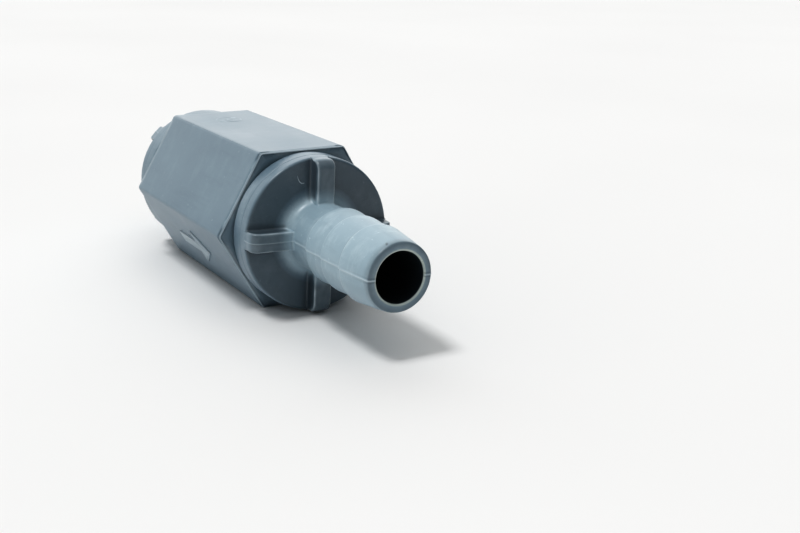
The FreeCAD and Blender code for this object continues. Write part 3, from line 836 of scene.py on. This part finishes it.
# points round the hexagon, inset by an amount, with flats that dip slightly in their middles
def hexagonPoints(inset, sinkShare):
    s = bodyShape
    sixth = math.pi / 3
    radius = max(0.05, s["edgeRound"] - inset)
    reach = (halfFlats - inset - radius) / math.cos(sixth / 2)
    tiny = s["flashHalf"] / s["edgeRound"]
    angles = spread(-sixth / 2, sixth / 2, s["edgeColumns"])
    middle = len(angles) // 2
    angles = angles[:middle] + [-tiny, -tiny / 2, 0.0, tiny / 2, tiny] + angles[middle + 1:]
    points = []
    for corner in range(6):
        facing = corner * sixth
        centre = polar(reach, facing)
        for angle in sorted(angles):
            out = radius
            if corner in s["flashCorners"]:
                out += s["flash"] * sinkShare * bell(angle * 1.4, tiny)
            points.append(centre + polar(1, facing + angle) * out)
        normal = polar(1, facing + sixth / 2)
        first = centre + normal * radius
        last = polar(reach, facing + sixth) + normal * radius
        for t in spread(0, 1, s["flatColumns"])[1:-1]:
            dip = s["sink"] * sinkShare * math.sin(math.pi * t) ** 2
            points.append(first.lerp(last, t) - normal * dip)
    return points


def bodyMesh(name):
    s = bodyShape
    cut = threadCut
    rows = []
    angles = [math.atan2(p.y, p.x) for p in hexagonPoints(0, 0)]

    def hexRow(x, inset, sinkShare):
        rows.append([Vector((x, p.x, p.y)) for p in hexagonPoints(inset, sinkShare)])

    # the end face, from the hexagon's rounded edge in to the mouth of the thread
    def faceRows(x, inward):
        outer = hexagonPoints(s["endRound"], 0.0)
        shares = spread(0, 1, s["faceRows"])[1:-1]
        for t in shares if inward else reversed(shares):
            row = []
            for p, a in zip(outer, angles):
                q = p.lerp(polar(s["mouth"], a), t)
                row.append(Vector((x, q.x, q.y)))
            rows.append(row)

    def threadRows(side):
        root = cut["majorRadius"] + cut["clearance"]
        bore = root - cut["depth"]
        steps = spread(0.0, s["threadEnd"] + s["threadRoom"], cut["bodyRows"])
        for depth in steps if side > 0 else reversed(steps):
            row = []
            for a in angles:
                local = a if side > 0 else math.pi - a
                share = (s["threadEnd"] - depth) / cut["pitch"] - local / (2 * math.pi)
                radius = bore + ridgeHeight(share, cut["flat"] + cut["clearance"])
                row.append(turned(side * (halfLength - depth), max(radius, s["mouth"] - depth), a))
            rows.append(row)

    endRound = s["endRound"]
    for t in spread(0, 1, s["roundRows"])[:-1]:
        bend = t * math.pi / 2
        hexRow(-halfLength + endRound * (1 - math.sin(bend)), endRound * (1 - math.cos(bend)), 0.0)
    for x in spread(-halfLength + endRound, halfLength - endRound, s["outsideRows"]):
        share = min(1.0, (halfLength - abs(x)) / s["sinkRun"])
        hexRow(x, 0.0, math.sin(share * math.pi / 2))
    for t in spread(0, 1, s["roundRows"])[1:]:
        bend = t * math.pi / 2
        hexRow(halfLength - endRound * (1 - math.cos(bend)), endRound * (1 - math.sin(bend)), 0.0)

    faceRows(halfLength, True)
    threadRows(1)
    inside = [
        (halfLength - s["threadEnd"] - s["threadRoom"] - s["sealLead"], s["sealBore"]),
        (s["guideFace"], s["sealBore"]), (s["guideFace"], s["chamber"]),
        (s["seatFace"], s["chamber"]), (s["seatFace"], s["sealBore"]),
        (-halfLength + s["threadEnd"] + s["threadRoom"] + s["sealLead"], s["sealBore"]),
    ]
    insideRadii = [0.0, 0.1, 0.15, 0.15, 0.1, 0.0]
    for point in refill(soften(inside, insideRadii, 3), 2.0, False):
        rows.append([turned(point.x, point.y, a) for a in angles])
    threadRows(-1)
    faceRows(-halfLength, False)
    return gridMesh(name, rows)


# the raised flow arrow, with rounded edges, on the flat whose normal points to 210 degrees
def arrowMesh():
    s = arrowShape
    tip = s["length"] / 2
    neck = tip - s["head"]
    head = s["headWidth"] / 2
    shaft = s["shaft"] / 2
    corners = [
        (-tip, -shaft), (neck, -shaft), (neck, -head), (tip, 0), (neck, head), (neck, shaft), (-tip, shaft),
    ]
    work = bmesh.new()
    base = work.faces.new([work.verts.new(Vector((x, y, s["root"])) * mm) for x, y in corners])
    raised = bmesh.ops.extrude_face_region(work, geom=[base])
    top = [item for item in raised["geom"] if isinstance(item, bmesh.types.BMVert)]
    bmesh.ops.translate(work, verts=top, vec=Vector((0, 0, s["height"] - s["root"])) * mm)
    topEdges = [e for e in work.edges if all(v in top for v in e.verts)]
    upright = [e for e in work.edges if abs(e.verts[0].co.z - e.verts[1].co.z) > 0.1 * mm]
    bmesh.ops.bevel(work, geom=topEdges + upright, offset=s["round"] * mm, segments=3, profile=0.5,
                    affect="EDGES")
    mesh = bpy.data.meshes.new("arrow")
    work.to_mesh(mesh)
    work.free()
    onFlat = Matrix.Translation((0, 0, (halfFlats - bodyShape["sink"]) * mm))
    mesh.transform(Matrix.Rotation(math.radians(s["flatAngle"]), 4, "X") @ onFlat)
    return mesh


# the ring and nub that the moulding gate leaves on the top flat, near the inlet end
def gateMesh():
    s = gateShape
    outline = refill([Vector(p) for p in s["outline"]], 0.3, True)
    angles = [2 * math.pi * k / s["segments"] for k in range(s["segments"])]
    mesh = gridMesh("gate", [[turned(point.x, point.y, a) for a in angles] for point in outline])
    place = Matrix.Translation((s["at"] * mm, 0, (halfFlats - s["sink"]) * mm))
    mesh.transform(place @ Matrix.Rotation(-math.pi / 2, 4, "Y"))
    return mesh


hexBody = joined("valveBodyMoulding", [bodyMesh("bodyShell"), arrowMesh(), gateMesh()])
hexBody.transform(Matrix.Translation((bodyMiddle * mm, 0, 0)))
addPiece("valveBodyMoulding", finishMesh(hexBody, 38), "housing", bodyPlastic, "valve_body")
print("valve body built")


# pieces inside, which keep their CAD shapes

insideFinish = {
    "outlet_tail_ring": sealRubber, "inlet_tail_ring": sealRubber, "seat_outer_ring": sealRubber,
    "poppet_seal": sealRubber, "seat_ring": seatBrass, "poppet": poppetAcetal,
    "seal_retainer": poppetAcetal, "spring_guide": guideAcetal, "retainer_screw": stainlessSteel,
    "spring_washer": stainlessSteel, "stem_clip": stainlessSteel,
}
for nodeName, finish in insideFinish.items():
    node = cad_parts[nodeName]
    node.data.materials.clear()
    node.data.materials.append(finish)
print("inside pieces finished")

springShape = {
    "coil": 4.4, "wire": 0.35, "turns": 6.5, "restEnd": 1.1, "closedRise": 1.2, "steps": 520, "around": 14,
}


# compression spring with closed, ground ends; the wire follows a helix whose pitch eases at the ends
def springMesh():
    s = springShape
    low, high = (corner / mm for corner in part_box("return_spring"))
    first = low.x + s["wire"]
    last = high.x - s["wire"]
    rest = s["restEnd"]
    total = s["turns"] + 2 * rest
    rise = s["wire"] * s["closedRise"]
    along = Vector((1, 0, 0))
    rows = []
    for k in range(s["steps"] + 1):
        turns = total * k / s["steps"]
        if turns < rest:
            x = first + turns * rise
        elif turns > total - rest:
            x = last - (total - turns) * rise
        else:
            x = mix(first + rest * rise, last - rest * rise, (turns - rest) / (total - 2 * rest))
        out = turned(0, 1, turns * 2 * math.pi)
        centre = Vector((x, 0, 0)) + out * s["coil"]
        row = []
        for j in range(s["around"]):
            bend = 2 * math.pi * j / s["around"]
            point = centre + out * s["wire"] * math.cos(bend) + along * s["wire"] * math.sin(bend)
            point.x = min(high.x, max(low.x, point.x))
            row.append(point)
        rows.append(row)
    return finishMesh(gridMesh("returnSpringWire", rows, True), 50)


spring = addPiece("returnSpringWire", springMesh(), "housing", springSteel, "return_spring")
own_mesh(spring)
print("spring built")


floorLook = {
    "reach": 6.0,
    "colour": (0.80, 0.80, 0.80),
    "paler": (0.82, 0.82, 0.82),
    "cloudScale": 6,
    "roughness": 0.6,
}


def makeFloor():
    look = floorLook
    mesh = bpy.data.meshes.new("studioFloor")
    reach = look["reach"]
    low = -halfFlats * mm
    corners = [(-reach, -reach, low), (reach, -reach, low), (reach, reach, low), (-reach, reach, low)]
    mesh.from_pydata(corners, [], [(0, 1, 2, 3)])
    floor = bpy.data.objects.new("studioFloor", mesh)
    scene.collection.objects.link(floor)
    nodes = Nodes("floorPaper")
    cloudy = nodes.noiseOf(look["cloudScale"], 2.0)
    colour = nodes.ramp(cloudy, 0.3, 0.7, look["colour"], look["paler"])
    nodes.link(colour, nodes.shader.inputs["Base Color"])
    nodes.shader.inputs["Roughness"].default_value = look["roughness"]
    nodes.shader.inputs["Specular IOR Level"].default_value = 0.0
    mesh.materials.append(nodes.material)


# a soft key light from above, in a room that is bright behind the inlet and at the left, and dark
# in front; each glow is (direction, where it starts, where it is full, how bright)
lighting = {
    "colour": (0.99, 0.99, 0.98),
    "roomGlow": 0.10,
    "glows": [
        ((-0.90, 0.35, 0.22), 0.45, 1.0, 1.10),
        ((-0.25, -0.95, 0.10), 0.62, 1.0, 0.50),
        ((0.0, 0.0, 1.0), 0.45, 0.95, 0.42),
    ],
    "backdrop": 0.68,
    "keyStrength": 1.07,
    "keySpread": 14.0,
    "keyFrom": (0.0, -0.38, 1.0),
}


def makeWorld():
    world = bpy.data.worlds.new("studio")
    scene.world = world
    world.use_nodes = True
    tree = world.node_tree
    background = tree.nodes["Background"]
    background.inputs["Color"].default_value = tone(lighting["colour"])
    place = tree.nodes.new("ShaderNodeTexCoord")
    total = None
    for direction, starts, full, bright in lighting["glows"]:
        facing = tree.nodes.new("ShaderNodeVectorMath")
        facing.operation = "DOT_PRODUCT"
        facing.inputs[1].default_value = Vector(direction).normalized()
        tree.links.new(place.outputs["Generated"], facing.inputs[0])
        level = tree.nodes.new("ShaderNodeMapRange")
        level.interpolation_type = "SMOOTHSTEP"
        level.inputs["From Min"].default_value = starts
        level.inputs["From Max"].default_value = full
        level.inputs["To Max"].default_value = bright
        tree.links.new(facing.outputs["Value"], level.inputs["Value"])
        both = tree.nodes.new("ShaderNodeMath")
        both.operation = "ADD"
        tree.links.new(level.outputs["Result"], both.inputs[0])
        if total is None:
            both.inputs[1].default_value = lighting["roomGlow"]
        else:
            tree.links.new(total, both.inputs[1])
        total = both.outputs["Value"]

    # what is seen past the edge of the floor is a plain pale backdrop
    seen = tree.nodes.new("ShaderNodeLightPath")
    shown = tree.nodes.new("ShaderNodeMix")
    tree.links.new(seen.outputs["Is Camera Ray"], shown.inputs["Factor"])
    tree.links.new(total, shown.inputs["A"])
    shown.inputs["B"].default_value = lighting["backdrop"]
    tree.links.new(shown.outputs["Result"], background.inputs["Strength"])


def makeKeyLight():
    sun = bpy.data.lights.new("keyLight", "SUN")
    sun.energy = lighting["keyStrength"]
    sun.angle = math.radians(lighting["keySpread"])
    lamp = bpy.data.objects.new("keyLight", sun)
    lamp.rotation_euler = Vector(lighting["keyFrom"]).to_track_quat("Z", "Y").to_euler()
    scene.collection.objects.link(lamp)


# angles in degrees, places in millimetres from the middle of the body's outlet end
cameraSetup = {
    "azimuth": 58.78, "elevation": 17.03, "roll": 1.25, "distance": 222.9,
    "aside": -18.37, "above": 7.55, "lens": 52.6, "sensor": 36, "clipStart": 0.01,
}


def makeCamera():
    s = cameraSetup
    azimuth = math.radians(s["azimuth"])
    elevation = math.radians(s["elevation"])
    roll = math.radians(s["roll"])
    level = math.cos(elevation)
    back = Vector((math.sin(azimuth) * level, -math.cos(azimuth) * level, math.sin(elevation)))
    right = Vector((math.cos(azimuth), math.sin(azimuth), 0))
    up = back.cross(right)
    rightRolled = right * math.cos(roll) + up * math.sin(roll)
    upRolled = up * math.cos(roll) - right * math.sin(roll)
    spot = Vector((bodyHigh.x, 0, 0)) + back * s["distance"]
    spot -= rightRolled * s["aside"] + upRolled * s["above"]
    camera = bpy.data.cameras.new("studioCamera")
    camera.lens = s["lens"]
    camera.sensor_width = s["sensor"]
    camera.clip_start = s["clipStart"]
    holder = bpy.data.objects.new("studioCamera", camera)
    holder.matrix_world = Matrix((
        (rightRolled.x, upRolled.x, back.x, spot.x * mm),
        (rightRolled.y, upRolled.y, back.y, spot.y * mm),
        (rightRolled.z, upRolled.z, back.z, spot.z * mm),
        (0, 0, 0, 1)))
    scene.collection.objects.link(holder)
    scene.camera = holder


makeFloor()
makeWorld()
makeKeyLight()
makeCamera()
scene.view_settings.view_transform = "Standard"
scene.view_settings.look = "High Contrast"
print("floor, light and camera placed")
